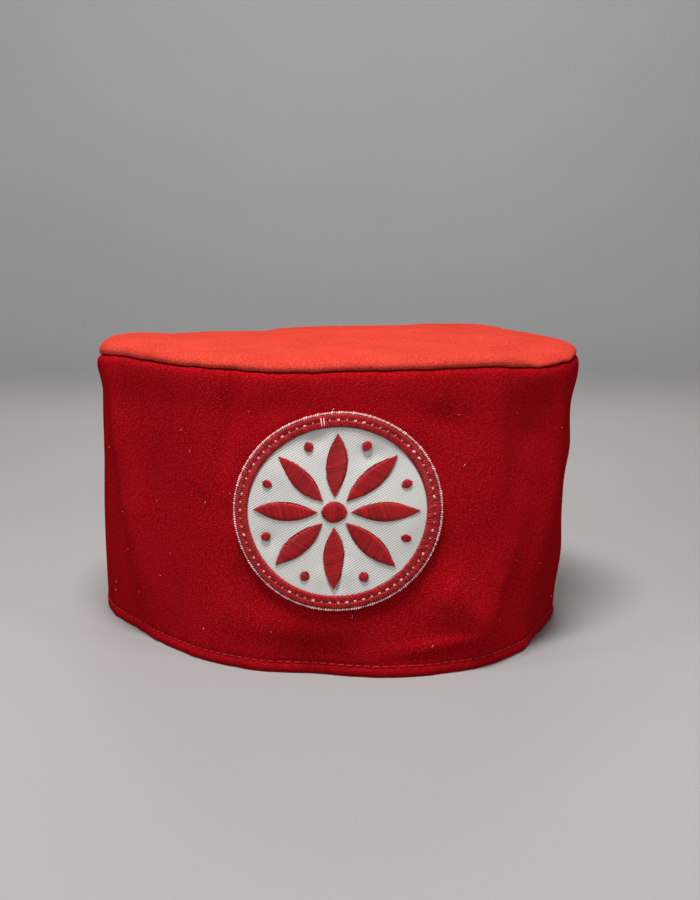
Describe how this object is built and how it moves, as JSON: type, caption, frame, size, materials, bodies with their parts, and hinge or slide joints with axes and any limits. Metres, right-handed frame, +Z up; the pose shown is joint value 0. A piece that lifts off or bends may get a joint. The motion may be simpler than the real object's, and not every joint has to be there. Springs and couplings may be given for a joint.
{
  "type": "crown cap",
  "caption": "Tall soft round cap: a stiffened cloth side band with a stitched hem, a flat padded crown, and a round embroidered patch on the front.",
  "frame": {"origin": "middle of the cap's box in plan, on the surface that the hem rests on", "axes": "+Z up; the patch on the front faces -Y; +X is to the right of someone who looks at the patch; the foot is squeezed a little oval, so the cap is longest along Y"},
  "size_m": [0.191, 0.2012, 0.1131],
  "materials": {
    "red_cloth": "deep red satin-backed twill with a soft nap, gently creased",
    "white_twill": "matt grey-white diagonal twill",
    "red_thread": "lustrous deep red embroidery thread"
  },
  "bodies": {
    "root": {"side_band": "red_cloth", "crown_top": "red_cloth", "patch_ground": "white_twill", "patch_border": "red_thread", "rosette_heart": "red_thread", "rosette_petal_1": "red_thread", "rosette_knot_1": "red_thread", "rosette_petal_2": "red_thread", "rosette_knot_2": "red_thread", "rosette_petal_3": "red_thread", "rosette_knot_3": "red_thread", "rosette_petal_4": "red_thread", "rosette_knot_4": "red_thread", "rosette_petal_5": "red_thread", "rosette_knot_5": "red_thread", "rosette_petal_6": "red_thread", "rosette_knot_6": "red_thread", "rosette_petal_7": "red_thread", "rosette_knot_7": "red_thread", "rosette_petal_8": "red_thread", "rosette_knot_8": "red_thread"}
  },
  "joints": []
}
